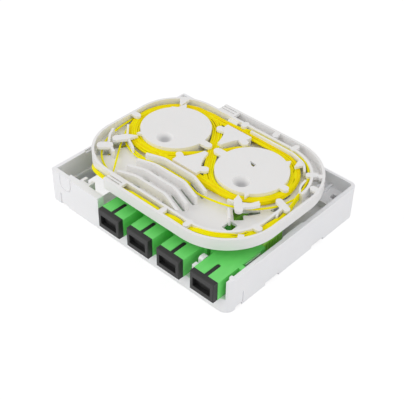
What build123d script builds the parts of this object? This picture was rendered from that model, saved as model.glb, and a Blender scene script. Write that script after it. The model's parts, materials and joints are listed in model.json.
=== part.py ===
"""Fibre termination box: open wall housing, hinged splice tray, four square fibre ports.

Millimetres. The pieces are drawn about the middle of the housing's footprint, with the wall
plane at Z = 0, the port side towards -Y and +Z out of the wall. `write` then moves every piece
by the same step, so that the origin is the middle of the whole part's footprint, dust caps
included.
"""
import os
from math import acos, atan2, cos, degrees, hypot, sin, sqrt

from build123d import *

# Housing
BOX_W = 105.5            # along X
BOX_D = 85.4             # along Y
BOX_H = 17.2             # along Z
SIDE_WALL = 1.8
BACK_WALL = 1.4
FRONT_WALL = 2.2
CORNER_FRONT_RIGHT = 4.5
CORNER_BACK_RIGHT = 3.0
CORNER_LEFT = 1.0
DECK_TOP = 7.4           # raised deck that carries the ports; the skirt below it is open
DECK = 1.6
SKIRT_GAP = 0.6          # the skirt's inner face stands this far outside the upper wall's
PORT_OPENING_LEFT = -21.8
PORT_OPENING_RIGHT = 51.0
FRONT_PAD_LEFT = -42.8   # thicker stretch inside the front wall
FRONT_PAD = 1.1
CABLE_HOLE = (-49.8, -31.0, -35.6, -22.0)   # x0, x1, y0, y1 of the opening in the deck
CABLE_HOLE_R = 2.6
REBATE_START = -23.7     # the left wall's inner half is lower behind this line
REBATE_DROP = 1.0
REBATE_W = 0.9
KNOCKOUT_X = -43.4
KNOCKOUT_R = 3.7
KNOCKOUT_BOTTOM = 9.2
GROOVE = 0.45
NOTCH_H = 1.3
SIDE_NOTCHES = ((-37.7, -33.4), (-19.0, -10.2), (11.8, 20.1))   # breather notches, from y to y
FRONT_NOTCH = (-47.2, -42.7)
SIDE_SLIT = (-33.6, -32.7)
SLIT_TOP = 7.0
LEDGE_TOP = 10.5         # raised ledge in the back right corner
LEDGE_X = 31.0
LEDGE_Y = 29.5
SCREW_R = 2.1
SCREW_BOSS_R = 4.2
SCREW_PLACES = ((-14.0, 26.0), (22.0, 26.0))
REST_R = 2.0             # pillars that carry the closed tray
REST_PLACES = ((33.0, 20.5), (4.0, 30.5))

# Tray
TRAY_Z = 21.0            # underside
TRAY_TOP = 26.5
TRAY_FLOOR = 1.3
RIM_W = 1.2
OUTER_W = 1.2
TRAY_LEFT = -49.35
TRAY_RIGHT = 50.35
TRAY_FRONT = -38.7
TRAY_BACK = 39.5
CHANNEL_W = 3.4
CHANNEL_BACK_W = 4.2
R_OUT_FRONT = 26.5
R_OUT_BACK = 28.0
R_LEFT_FRONT = 24.0
R_LEFT_BACK = 23.0
MOUTH_X = -21.8          # where the fibre channel opens, front and back
MOUTH_COVER = 9.6
RIM_GAP = (1.5, 11.3)    # the rim is open here, from y to y, and fibre passes into the channel
DISC_X = (-25.7, 19.8)
DISC_Y = 9.4
DISC_R = 16.3
LAP_R = 22.1             # outer radius of the fibre's lane round each disc
SHELL = 1.3
TAB = 1.3
TAB_MARGIN = 0.35        # window in the floor under each tab is larger by this
DISH_DX, DISH_DY = 2.0, -9.2
DISH_R = 3.9
DISH_DEPTHS = (1.7, 2.6)
ISLAND_BACK = 27.3
ISLAND_FRONT = -8.9
ISLAND_TIP = 4.2         # half the height between the two islands' tips
RIDGES = 4
RIDGE_BACK = -11.0
RIDGE_PITCH = 5.65
RIDGE_W = 1.3
SLOT_W = 0.8
SLOT_GAP = 0.1           # between a slot and the foot of its ridge

# Hinge
HINGE_X = -48.4
HINGE_Z = 19.2
HINGE_PLACES = (-14.0, 14.0)
KNUCKLE_R = 1.5
KNUCKLE_W = 3.0
LUG_DROP = 4.3           # from the hinge axis down to the underside of a lug
HINGE_PIN_R = 0.8
HINGE_FIT = 0.08
HINGE_SIDE_GAP = 0.3

# Ports
PORT_X = (-11.0, 6.4, 23.8, 42.4)
PORT_W = 12.9
PORT_H = 9.3
PORT_FRONT = -44.0
PORT_LEN = 28.3
PORT_Z = DECK_TOP
SOCKET_W = 9.3
SOCKET_H = 7.5
SOCKET_DEPTH = 12.4
KEYWAY_W = 1.9
KEYWAY_LEN = 8.2
FLANGE_W = 16.6
FLANGE_T = 2.4
FLANGE_BACK = 13.0       # behind the port's front
SLEEVE_R = 1.65
SLEEVE_BORE = 1.25
SLEEVE_LEN = 11.4
SLEEVE_GAP = 0.5
SLEEVE_FIT = 0.1         # between the sleeve and the tube that holds it
TUBE_WALL = 0.7
TUBE_LEN = 12.6
CLIP_T = 0.3
CLIP_LEN = 9.5
CLIP_GAP = 0.05
CLIP_BACK = 1.6          # behind the flange
SEAT_RIB = 1.2           # ribs on the deck, before and behind the flange
SEAT_H = 2.6
SEAT_FIT = 0.1

# Dust caps
CAP_W = 12.55
CAP_H = 9.57
CAP_T = 2.65
CAP_POCKET_W = 9.3
CAP_POCKET_H = 4.6
CAP_POCKET = 2.0
CAP_FIT = 0.15
CAP_PLUG = 8.5
CAP_WALL = 1.0
CAP_EDGE = 0.3

# Plugs at the back of the ports
GRIP_W = 9.0
GRIP_H = 7.3
GRIP_INSIDE = 11.0
GRIP_OUTSIDE = 13.5
CORE_W = 6.2
CORE_H = 5.2
CORE_FIT = 0.1
FERRULE_R = SLEEVE_BORE
STEM_R = 1.3             # crimp stem behind the plug's frame
STEM_LEN = 4.5
STEM_FIT = 0.05
BOOT_R = 2.4
BOOT_TIP_R = 1.1
BOOT_LEN = 10.5
FIBRE_R = 0.45

# Fibre on the tray
LAP_IN = DISC_R + 0.5
LAP_OUT = LAP_R - 1.1
LAP_BASE = TRAY_Z + TRAY_FLOOR + 0.3
LAP_H = 2.5
LAP_BAND = 3.0           # width of the fibre that crosses between the discs

FLOOR_TOP = TRAY_Z + TRAY_FLOOR
TAB_Z = TRAY_TOP - TAB
X_LEFT, X_RIGHT = -BOX_W / 2, BOX_W / 2
Y_FRONT, Y_BACK = -BOX_D / 2, BOX_D / 2
RIM_RIGHT = TRAY_RIGHT - OUTER_W - CHANNEL_W
RIM_FRONT = TRAY_FRONT + OUTER_W + CHANNEL_W
RIM_BACK = TRAY_BACK - OUTER_W - CHANNEL_BACK_W
PORT_BACK = PORT_FRONT + PORT_LEN
PORT_AXIS_Z = PORT_Z + PORT_H / 2
FLANGE_Y = PORT_FRONT + FLANGE_BACK
TUBE_R = SLEEVE_R + SLEEVE_FIT + TUBE_WALL
CAP_FRONT = PORT_FRONT - CAP_T
FRAME_Y = -(CAP_FRONT + Y_BACK) / 2


def block(x0, x1, y0, y1, z0, z1):
    """Solid block between two corners."""
    return Pos(x0, y0, z0) * Box(x1 - x0, y1 - y0, z1 - z0, align=(Align.MIN,) * 3)


def plate(outline, z0, z1):
    """Flat outline thickened from z0 to z1."""
    return Pos(0, 0, z0) * extrude(outline, z1 - z0)


def rounded(x0, x1, y0, y1, front_left, front_right, back_right, back_left):
    """Rectangle with a radius of its own at each corner; 0 leaves the corner square."""
    face = Pos((x0 + x1) / 2, (y0 + y1) / 2) * Rectangle(x1 - x0, y1 - y0)
    corners = ((x0, y0, front_left), (x1, y0, front_right), (x1, y1, back_right), (x0, y1, back_left))
    for x, y, radius in corners:
        if radius:
            face = fillet(face.vertices().sort_by_distance((x, y, 0))[0], radius)
    return face


def bar(x0, y0, x1, y1, width):
    """Straight bar with round ends centred on the two points."""
    turn = degrees(atan2(y1 - y0, x1 - x0))
    slot = SlotCenterToCenter(hypot(x1 - x0, y1 - y0), width)
    return Pos((x0 + x1) / 2, (y0 + y1) / 2) * Rot(0, 0, turn) * slot


def wedge(*corners):
    """Flat shape with straight sides."""
    return make_face(Polyline(*corners, close=True))


def strip(points, radius, width):
    """Strip of even width along straight runs joined by arcs."""
    line = FilletPolyline(*points, radius=radius) if len(points) > 2 else Polyline(*points)
    return trace(line, width)


def joined(pieces):
    """All the pieces as one."""
    whole = pieces[0]
    for piece in pieces[1:]:
        whole += piece
    return whole


def write(name, shape):
    """One file for the named piece, in the part's frame."""
    moved = Pos(0, FRAME_Y, 0) * shape
    export_step(moved, f"parts/{name}.step")
    print(name, len(moved.solids()), round(moved.volume, 1))


# Housing

def knuckle_outline(wall):
    """Knuckle about the hinge axis, in X and Z: its stem, and a root no higher than the wall's top."""
    foot = HINGE_Z - LUG_DROP
    outline = Pos(HINGE_X, HINGE_Z) * Circle(KNUCKLE_R)
    outline += Pos(HINGE_X, (foot + HINGE_Z) / 2) * Rectangle(2 * KNUCKLE_R, HINGE_Z - foot)
    outline += Pos((HINGE_X + wall) / 2, (foot + BOX_H) / 2) * Rectangle(HINGE_X - wall, BOX_H - foot)
    return outline


def across(outline, y0, y1):
    """Outline drawn in X and Z, thickened along Y from y0 to y1."""
    return Pos(0, y1, 0) * Rot(90, 0, 0) * extrude(outline, y1 - y0)


def hinge_lug(y):
    """Lug on the left wall with the bore that holds one of the tray's pins."""
    wall = X_LEFT + SIDE_WALL
    lug = across(knuckle_outline(wall), y - KNUCKLE_W / 2, y + KNUCKLE_W / 2)
    foot = across(wedge((wall, BOX_H - 9), (wall, BOX_H - 1), (HINGE_X + KNUCKLE_R, BOX_H - 1)),
                  y - KNUCKLE_W / 2, y + KNUCKLE_W / 2)
    bore = across(Pos(HINGE_X, HINGE_Z) * Circle(HINGE_PIN_R + HINGE_FIT),
                  y - KNUCKLE_W, y + KNUCKLE_W)
    return lug + foot - bore


def port_seat(x):
    """Ribs on the deck that hold a port's flange between them."""
    half = FLANGE_T / 2 + SEAT_FIT
    ribs = []
    for side in (-1, 1):
        cx = x + side * (PORT_W / 2 + FLANGE_W / 2) / 2
        width = (FLANGE_W - PORT_W) / 2 - 0.3
        for y0, y1 in ((FLANGE_Y - half - SEAT_RIB, FLANGE_Y - half), (FLANGE_Y + half, FLANGE_Y + half + SEAT_RIB)):
            ribs.append(block(cx - width / 2 + side * 0.15, cx + width / 2 + side * 0.15, y0, y1,
                              DECK_TOP, DECK_TOP + SEAT_H))
    return joined(ribs)


def divider():
    """Stepped post between the third and fourth ports."""
    right = PORT_X[3] - PORT_W / 2 - 0.3
    post = block(right - 1.9, right, Y_FRONT, Y_FRONT + 2.4, DECK_TOP, 15.8)
    tall = fillet(block(right - 2.2, right, Y_FRONT + 4.0, Y_FRONT + 7.8, DECK_TOP, 17.0)
                  .edges().filter_by(Axis.X).sort_by(Axis.Z)[-2:], 1.2)
    web = block(right - 1.2, right - 0.4, Y_FRONT + 2.4, Y_FRONT + 4.0, DECK_TOP, 13.0)
    return post + tall + web


def front_post():
    """Clip post behind the front wall, with the round head that a cover snaps over."""
    x0, x1 = -37.4, -31.4
    body = block(x0, x1, Y_FRONT + FRONT_WALL, -35.6, DECK_TOP - DECK, 16.9)
    groove = block(x0 + 1.5, x1 - 1.5, -38.2, -35.5, 12.0, 17.0)
    return body - groove


def make_housing():
    """Moulded housing: walls, raised deck, skirt, seats, posts and hinge lugs."""
    outline = rounded(X_LEFT, X_RIGHT, Y_FRONT, Y_BACK,
                      CORNER_LEFT, CORNER_FRONT_RIGHT, CORNER_BACK_RIGHT, CORNER_LEFT)
    inner = rounded(X_LEFT + SIDE_WALL, X_RIGHT - SIDE_WALL, Y_FRONT + FRONT_WALL, Y_BACK - BACK_WALL,
                    0, CORNER_FRONT_RIGHT - SIDE_WALL, CORNER_BACK_RIGHT - BACK_WALL, 0)
    skirt = rounded(X_LEFT + SIDE_WALL - SKIRT_GAP, X_RIGHT - SIDE_WALL + SKIRT_GAP,
                    Y_FRONT + FRONT_WALL - SKIRT_GAP, Y_BACK - BACK_WALL, 0,
                    CORNER_FRONT_RIGHT - SIDE_WALL, CORNER_BACK_RIGHT - BACK_WALL, 0)
    box = plate(outline, 0, BOX_H)
    box -= plate(inner, DECK_TOP, BOX_H)
    box -= plate(skirt, 0, DECK_TOP - DECK)
    box += block(FRONT_PAD_LEFT, PORT_OPENING_LEFT, Y_FRONT + 1, Y_FRONT + FRONT_WALL + FRONT_PAD,
                 DECK_TOP - DECK, BOX_H)
    box += block(X_RIGHT - SIDE_WALL - 0.6, X_RIGHT - 1, -6.7, 6.3, DECK_TOP - 0.5, BOX_H)
    box += block(LEDGE_X, X_RIGHT - 1, LEDGE_Y, Y_BACK - 1, DECK_TOP - 0.5, LEDGE_TOP)
    for x in (36.0, 40.0):
        box += block(x, x + 1.0, LEDGE_Y + 2, Y_BACK - 1, LEDGE_TOP - 0.5, LEDGE_TOP + 1.4)
    box += block(X_RIGHT - SIDE_WALL - 0.7, X_RIGHT - 1.2, -39.2, -37.7, BOX_H - 2.2, BOX_H + 0.3)
    for x, y in SCREW_PLACES:
        box += Pos(x, y, 0) * Cylinder(SCREW_BOSS_R, DECK_TOP, align=(Align.CENTER, Align.CENTER, Align.MIN))
    for x, y in REST_PLACES:
        foot = LEDGE_TOP if (x > LEDGE_X and y > LEDGE_Y) else DECK_TOP
        box += Pos(x, y, foot - 0.5) * Cylinder(REST_R, TRAY_Z - foot + 0.5,
                                                align=(Align.CENTER, Align.CENTER, Align.MIN))
    for x in PORT_X:
        box += port_seat(x)
    box += divider()
    box += front_post()

    # Openings
    box -= block(PORT_OPENING_LEFT, PORT_OPENING_RIGHT, Y_FRONT - 1, Y_FRONT + FRONT_WALL + FRONT_PAD,
                 DECK_TOP, BOX_H + 1) - divider()
    hole = rounded(*CABLE_HOLE, 0.5, CABLE_HOLE_R, CABLE_HOLE_R, CABLE_HOLE_R)
    box -= plate(hole, DECK_TOP - DECK - 1, DECK_TOP + 0.01) - front_post()
    box -= block(44.4, 46.4, 34.4, 37.2, 0, LEDGE_TOP + 1)
    for x, y in SCREW_PLACES:
        box -= Pos(x, y, 0) * Cylinder(SCREW_R, 4 * DECK_TOP)
    box -= block(X_LEFT + SIDE_WALL - REBATE_W, X_LEFT + SIDE_WALL + 1, REBATE_START, Y_BACK - BACK_WALL,
                 BOX_H - REBATE_DROP, BOX_H + 1)

    # Marks moulded into the walls
    line = Pos(KNOCKOUT_X, KNOCKOUT_BOTTOM + KNOCKOUT_R) * Circle(KNOCKOUT_R)
    line += Pos(KNOCKOUT_X, KNOCKOUT_BOTTOM + KNOCKOUT_R + 5) * Rectangle(2 * KNOCKOUT_R, 10)
    core = Pos(KNOCKOUT_X, KNOCKOUT_BOTTOM + KNOCKOUT_R) * Circle(KNOCKOUT_R - GROOVE)
    core += Pos(KNOCKOUT_X, KNOCKOUT_BOTTOM + KNOCKOUT_R + 6) * Rectangle(2 * (KNOCKOUT_R - GROOVE), 12)
    box -= across(line - core, Y_FRONT - 0.1, Y_FRONT + GROOVE)
    box -= block(-47.7, -46.5, Y_FRONT - 0.1, Y_FRONT + GROOVE, 0, 6.3)
    for y0, y1 in SIDE_NOTCHES:
        box -= block(X_RIGHT - SIDE_WALL - 1, X_RIGHT + 1, y0, y1, -1, NOTCH_H)
    box -= block(*FRONT_NOTCH, Y_FRONT - 1, Y_FRONT + FRONT_WALL + 1, -1, NOTCH_H - 0.3)
    box -= block(X_RIGHT - GROOVE, X_RIGHT + 1, *SIDE_SLIT, NOTCH_H - 0.3, SLIT_TOP)

    for y in HINGE_PLACES:
        box += hinge_lug(y)
    return box


# Tray

def rim_outline(inset):
    """Outline of the tray's inner rim, moved inwards by `inset`."""
    return rounded(TRAY_LEFT + inset, RIM_RIGHT - inset, RIM_FRONT + inset, RIM_BACK - inset,
                   R_LEFT_FRONT - inset, R_OUT_FRONT - OUTER_W - CHANNEL_W - inset,
                   R_OUT_BACK - OUTER_W - CHANNEL_W - inset, R_LEFT_BACK - inset)


def channel_outline(inset):
    """Outline of the fibre channel round the rim, moved inwards by `inset`, open on the left."""
    return rounded(MOUTH_X, TRAY_RIGHT - inset, TRAY_FRONT + inset, TRAY_BACK - inset,
                   0, R_OUT_FRONT - inset, R_OUT_BACK - inset, 0)


def island_outline(y0, y1):
    """Space between the two fibre lanes, from y0 to y1."""
    mid = (DISC_X[0] + DISC_X[1]) / 2
    face = Pos(mid, (y0 + y1) / 2) * Rectangle(14.2, abs(y1 - y0))
    for x in DISC_X:
        face -= Pos(x, DISC_Y) * Circle(LAP_R)
    return face


def bar_window(x0, y0, x1, y1, width):
    """Square-cornered outline round a straight bar, larger by the tabs' margin."""
    turn = degrees(atan2(y1 - y0, x1 - x0))
    reach = hypot(x1 - x0, y1 - y0) + width + 2 * TAB_MARGIN
    return Pos((x0 + x1) / 2, (y0 + y1) / 2) * Rot(0, 0, turn) * Rectangle(reach, width + 2 * TAB_MARGIN)


def disc_tabs():
    """Tabs that reach from the discs and islands over the wound fibre: bars, then pointed ones."""
    left, right = DISC_X
    bars = [
        (left + DISC_R - 3, DISC_Y, -5.75, DISC_Y, 3.4),
        (right - DISC_R + 3, DISC_Y, 0.1, DISC_Y, 3.9),
        (right + DISC_R - 3, DISC_Y, 37.8, DISC_Y, 3.4),
        (-7.5, 23.6, -10.6, 22.7, 3.5),
        (1.0, 23.4, 4.6, 22.2, 3.5),
        (-7.0, -6.0, -10.6, -4.1, 3.0),
        (1.5, -6.5, 4.9, -4.3, 3.4),
    ]
    pointed = [
        ((-39.0, 20.0), (-36.4, 21.5), (-35.35, 26.5), (-33.0, 23.9), (-32.0, 20.0)),
        ((25.5, 22.0), (26.4, 23.9), (28.05, 25.9), (30.0, 21.5), (28.0, 19.5)),
        ((-34.0, -1.0), (-35.3, -6.2), (-30.0, -4.0)),
        ((26.0, -3.0), (29.7, -7.0), (29.5, -2.0)),
    ]
    return bars, pointed


def rim_tabs():
    """Tabs that reach inwards from the rim and guide walls: bars, then pointed ones."""
    bars = [
        (TRAY_LEFT + 0.6, 4.0, -45.3, 4.0, 3.0),
        (-4.4, RIM_BACK - 0.6, -4.4, 32.3, 3.1),
        (41.6, 25.6, 39.5, 23.6, 2.8),
        (-37.9, -21.0, -40.1, -23.2, 4.2),
        (-39.0, -15.0, -36.6, -11.4, 4.0),
        (41.4, 1.3, 46.8, -0.6, 2.9),
        (28.9, -10.3, 32.9, -14.3, 3.4),
    ]
    pointed = [
        ((-42.0, 28.9), (-37.0, 32.0), (-36.4, 24.1), (-37.8, 24.3)),
        ((29.7, 29.9), (33.8, 27.2), (31.9, 23.8), (31.4, 23.9)),
        ((-38.2, -9.9), (-34.9, -12.5), (-33.4, -7.2)),
        ((26.5, -7.3), (30.1, -9.1), (27.7, -11.5)),
        ((31.0, -11.4), (33.6, -8.9), (35.5, -4.5), (37.6, -6.5), (35.6, -9.9), (33.2, -12.4)),
    ]
    return bars, pointed


def channel_tabs():
    """Tabs over the channel, from the outer wall or from the rim: bars, then pointed ones."""
    outer_back, rim_back = TRAY_BACK - 0.6, RIM_BACK - 0.6
    outer_front, rim_front = TRAY_FRONT + 0.6, RIM_FRONT + 0.6
    bars = [
        (10.3, outer_back, 10.9, 36.0, 2.8),
        (23.1, rim_back, 23.3, 35.7, 2.6),
        (11.0, outer_front, 11.0, -35.3, 2.5),
        (23.8, rim_front, 23.8, -35.9, 2.5),
        (45.9, 28.3, 43.9, 26.3, 2.6),
        (TRAY_RIGHT - 0.6, 17.6, 46.4, 17.6, 3.0),
        (44.6, -17.6, 46.3, -17.6, 3.0),
    ]
    pointed = [((45.9, -26.1), (44.1, -28.0), (42.7, -25.9), (44.6, -24.4))]
    return bars, pointed


def ridge_line(index):
    """Plan of one of the ridges that hold splices, as points."""
    y = RIDGE_BACK - index * RIDGE_PITCH
    return [(-21.2, y - 3.0), (-12.9, y), (4.6, y), (15.2, y - 4.0)]


def floor_slots():
    """Narrow slots in the tray's floor at the foot of the ridges."""
    slots = []
    for index in range(RIDGES):
        y = RIDGE_BACK - index * RIDGE_PITCH - RIDGE_W / 2 - SLOT_GAP - SLOT_W / 2
        slots.append(bar(-13.4, y - 0.4, -10.2, y, SLOT_W))
        reach = 6.6 if index == RIDGES - 1 else 14.0
        drop = (reach - 4.6) * 4.0 / 10.6
        slots.append(bar(3.9, y, reach, y - drop, SLOT_W))
        if index in (1, 2):
            slots.append(bar(reach, y - drop, reach + 0.6, y - drop + 1.2, SLOT_W))
    return slots


def floor_holes():
    """Other holes in the tray's floor."""
    return [
        bar(-33.6, -9.8, -32.4, -9.1, 1.3),
        bar(-44.4, -8.9, -43.8, -8.6, 1.2),
        bar(38.6, 7.9, 38.9, 9.3, 1.8),
        bar(40.4, -1.4, 41.2, -0.2, 1.6),
        wedge((28.6, 29.6), (33.4, 30.2), (33.0, 26.6)),
        bar(44.6, 21.6, 44.9, 22.6, 1.6),
        rounded(32.1, 36.3, -23.6, -18.4, 0.4, 0.4, 0.4, 0.4),
    ]


def dish(index):
    """Dished recess in a disc: the boss that carries it, and the space it takes."""
    depth = DISH_DEPTHS[index]
    sphere_r = (DISH_R ** 2 + depth ** 2) / (2 * depth)
    x, y = DISC_X[index] + DISH_DX, DISC_Y + DISH_DY
    boss = Pos(x, y, TRAY_TOP - depth - SHELL) * Cylinder(
        DISH_R + SHELL, depth + SHELL - 0.1, align=(Align.CENTER, Align.CENTER, Align.MIN))
    space = Pos(x, y, TRAY_TOP - depth + sphere_r) * Sphere(sphere_r)
    if index == 1:
        space += Pos(x + 1.3, y - 1.3, TRAY_TOP - 3) * Cylinder(0.9, 2 * (SHELL + depth))
    return boss, space


def guide_walls():
    """Upright guide walls on the tray's floor: their outlines."""
    return [
        strip([(0.6, 31.1), (25.0, 31.1), (33.2, 28.6), (36.7, 24.3)], 9.0, 1.0),
        strip([(40.6, 20.0), (41.5, 15.2), (44.2, 11.3)], 6.0, 0.9),
        strip([(-45.7, -10.7), (-43.4, -15.2), (-38.9, -20.0), (-32.8, -22.4)], 6.5, 1.1),
        bar(29.4, -16.6, 33.4, -20.4, 0.9),
        bar(-43.0, -4.3, -36.6, -10.8, 0.9),
        bar(-36.6, -10.8, -28.6, -14.7, 0.9),
        strip([(43.6, 0.2), (45.0, -3.4), (46.6, -7.0)], 6.0, 0.8),
        lane_wall(DISC_X[1], -76, -41),
    ]


def lane_wall(x, start, stop):
    """Outline of a wall that follows the fibre's lane round the disc at x, between two angles."""
    line = Pos(x, DISC_Y) * CenterArc((0, 0), LAP_R + 0.5, start, stop - start)
    return trace(line, 0.9)


def mouth_cover(y0, y1):
    """Slitted cover over a mouth of the channel, from y0 to y1."""
    cover = block(MOUTH_X, MOUTH_X + MOUTH_COVER, y0, y1, TAB_Z, TRAY_TOP)
    for share in (1 / 3, 2 / 3):
        y = y0 + share * (y1 - y0)
        cover -= block(MOUTH_X - 1, MOUTH_X + MOUTH_COVER - 1.4, y - 0.3, y + 0.3, TAB_Z - 1, TRAY_TOP + 1)
    return cover


def hinge_ear(y, side):
    """Ear under the tray beside a lug, with the pin that turns in the lug's bore."""
    y0 = y + side * (KNUCKLE_W / 2 + HINGE_SIDE_GAP)
    y1 = y0 + side * KNUCKLE_W
    outline = Pos(HINGE_X, HINGE_Z) * Circle(KNUCKLE_R)
    outline += Pos(HINGE_X, (HINGE_Z + TRAY_Z) / 2) * Rectangle(2 * KNUCKLE_R - 0.8, TRAY_Z - HINGE_Z)
    ear = across(outline, min(y0, y1), max(y0, y1))
    pin = across(Pos(HINGE_X, HINGE_Z) * Circle(HINGE_PIN_R),
                 min(y - side * (KNUCKLE_W / 2 - 0.4), y0), max(y - side * (KNUCKLE_W / 2 - 0.4), y0))
    return ear + pin


def make_tray():
    """Moulded splice tray: floor, rim, channel, discs, islands, ridges, tabs and hinge ears."""
    bars, pointed = (first + second + third
                     for first, second, third in zip(disc_tabs(), rim_tabs(), channel_tabs()))
    floor = rim_outline(0) + channel_outline(0)
    tray = plate(floor, TRAY_Z, FLOOR_TOP)
    for tab in bars:
        tray -= plate(bar_window(*tab), TRAY_Z - 1, FLOOR_TOP + 1)
    for tab in pointed:
        tray -= plate(offset(wedge(*tab), TAB_MARGIN, kind=Kind.INTERSECTION), TRAY_Z - 1, FLOOR_TOP + 1)
    for hole in floor_slots() + floor_holes():
        tray -= plate(hole, TRAY_Z - 1, FLOOR_TOP + 1)

    rim = plate(rim_outline(0) - rim_outline(RIM_W), TRAY_Z, TRAY_TOP)
    rim -= block(RIM_RIGHT - 3, RIM_RIGHT + 1, *RIM_GAP, FLOOR_TOP, TRAY_TOP + 1)
    wall = plate(channel_outline(0) - channel_outline(OUTER_W), TRAY_Z, TRAY_TOP)
    wall -= block(MOUTH_X - 1, MOUTH_X + OUTER_W, RIM_FRONT, RIM_BACK, TRAY_Z - 1, TRAY_TOP + 1)
    tray += rim
    tray += wall
    tray += mouth_cover(TRAY_FRONT + 0.2, RIM_FRONT + 0.2)
    tray += mouth_cover(RIM_BACK - 0.2, TRAY_BACK - 0.2)

    for x in DISC_X:
        tray += Pos(x, DISC_Y, TRAY_Z) * Cylinder(DISC_R, TRAY_TOP - TRAY_Z,
                                                  align=(Align.CENTER, Align.CENTER, Align.MIN))
        tray -= Pos(x, DISC_Y, TRAY_Z - 1) * Cylinder(DISC_R - SHELL, TAB_Z - TRAY_Z + 1,
                                                      align=(Align.CENTER, Align.CENTER, Align.MIN))
    for index in range(2):
        boss, space = dish(index)
        tray += boss
        tray -= space
    tray -= plate(wedge((15.2, 13.6), (18.9, 13.3), (18.9, 11.3), (17.4, 11.6)), TAB_Z - 1, TRAY_TOP + 1)

    for y0, y1 in ((DISC_Y + ISLAND_TIP, ISLAND_BACK), (ISLAND_FRONT, DISC_Y - ISLAND_TIP)):
        face = island_outline(y0, y1)
        tray += plate(face, TRAY_Z, TRAY_TOP)
    for walls in guide_walls():
        tray += plate(walls, FLOOR_TOP - 0.3, TRAY_TOP - 0.2)
    for index in range(RIDGES):
        tray += plate(strip(ridge_line(index), 9.0, RIDGE_W), FLOOR_TOP - 0.3, TRAY_TOP)
    for tab in bars:
        tray += plate(bar(*tab) & floor, TAB_Z, TRAY_TOP)
    for tab in pointed:
        tray += plate(wedge(*tab), TAB_Z, TRAY_TOP)
    tray += plate(wedge((-14.4, 33.2), (-8.6, 33.2), (-8.0, 31.0), (-13.4, 31.0)), TAB_Z - 1.2, TAB_Z)

    for y in HINGE_PLACES:
        tray += hinge_ear(y, 1)
        tray += hinge_ear(y, -1)
    return tray


# Ports

def make_port(x):
    """Square adapter body with a socket at each end, its key slots and its mid flange."""
    y0, y1 = PORT_FRONT, PORT_BACK
    body = block(x - PORT_W / 2, x + PORT_W / 2, y0, y1, PORT_Z, PORT_Z + PORT_H)
    body += block(x - FLANGE_W / 2, x + FLANGE_W / 2, FLANGE_Y - FLANGE_T / 2, FLANGE_Y + FLANGE_T / 2,
                  PORT_Z, PORT_Z + PORT_H)
    z0, z1 = PORT_AXIS_Z - SOCKET_H / 2, PORT_AXIS_Z + SOCKET_H / 2
    body -= block(x - SOCKET_W / 2, x + SOCKET_W / 2, y0 - 1, y0 + SOCKET_DEPTH, z0, z1)
    body -= block(x - SOCKET_W / 2, x + SOCKET_W / 2, y1 - SOCKET_DEPTH, y1 + 1, z0, z1)
    body -= plate(bar(x, y0 - 2, x, y0 + KEYWAY_LEN - KEYWAY_W / 2, KEYWAY_W), z1 - 1, PORT_Z + PORT_H + 1)
    body -= plate(bar(x, y1 + 2, x, y1 - KEYWAY_LEN + KEYWAY_W / 2, KEYWAY_W), z1 - 1, PORT_Z + PORT_H + 1)
    # Tube in the middle that holds the split sleeve, open at both ends for the ferrules
    tube = Pos(x, (y0 + y1) / 2, PORT_AXIS_Z) * Rot(90, 0, 0) * Cylinder(TUBE_R, TUBE_LEN)
    bore = Pos(x, (y0 + y1) / 2, PORT_AXIS_Z) * Rot(90, 0, 0) * Cylinder(SLEEVE_R + SLEEVE_FIT, TUBE_LEN + 0.4)
    body = body + tube - bore
    # Shallow seat for the steel clip under the body and up its sides
    seat_y0 = FLANGE_Y + FLANGE_T / 2 + CLIP_BACK - 0.2
    body -= block(x - PORT_W / 2 - 1, x + PORT_W / 2 + 1, seat_y0, seat_y0 + CLIP_LEN + 0.4,
                  PORT_Z - 1, PORT_Z + CLIP_T + CLIP_GAP)
    return body


def make_sleeve(x):
    """Split ceramic sleeve that lines the ferrules up."""
    y = PORT_FRONT + PORT_LEN / 2
    sleeve = Pos(x, y, PORT_AXIS_Z) * Rot(90, 0, 0) * Cylinder(SLEEVE_R, SLEEVE_LEN)
    sleeve -= Pos(x, y, PORT_AXIS_Z) * Rot(90, 0, 0) * Cylinder(SLEEVE_BORE + 0.02, SLEEVE_LEN + 1)
    sleeve -= block(x - SLEEVE_GAP / 2, x + SLEEVE_GAP / 2, y - SLEEVE_LEN, y + SLEEVE_LEN,
                    PORT_AXIS_Z, PORT_AXIS_Z + 2 * SLEEVE_R)
    return sleeve


def make_clip(x):
    """Steel spring clip: a strap under the port with a sprung tongue up each side."""
    y0 = FLANGE_Y + FLANGE_T / 2 + CLIP_BACK
    y1 = y0 + CLIP_LEN
    side = PORT_W / 2 + CLIP_GAP
    z0, z1 = PORT_Z, PORT_Z + PORT_H - 1.0
    clip = block(x - side - CLIP_T, x + side + CLIP_T, y0, y1, z0, z0 + CLIP_T)
    for s in (-1, 1):
        inner, outer = x + s * side, x + s * (side + CLIP_T)
        wing = block(min(inner, outer), max(inner, outer), y0, y1, z0, z1)
        wing -= block(min(inner, outer) - 1, max(inner, outer) + 1, y0 + 2.2, y1 - 2.2, z0 + 2.0, z1 - 1.6)
        ramp = wedge((inner, y1 - 2.6), (outer, y1 - 2.6), (outer + s * 1.2, y0 + 3.0), (inner + s * 1.2, y0 + 3.0))
        root = block(min(inner, outer), max(inner, outer), y1 - 2.8, y1 - 2.2, z0 + 2.0, z1 - 1.6)
        clip += wing + root + plate(ramp, z0 + 2.6, z1 - 2.2)
    return clip


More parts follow.
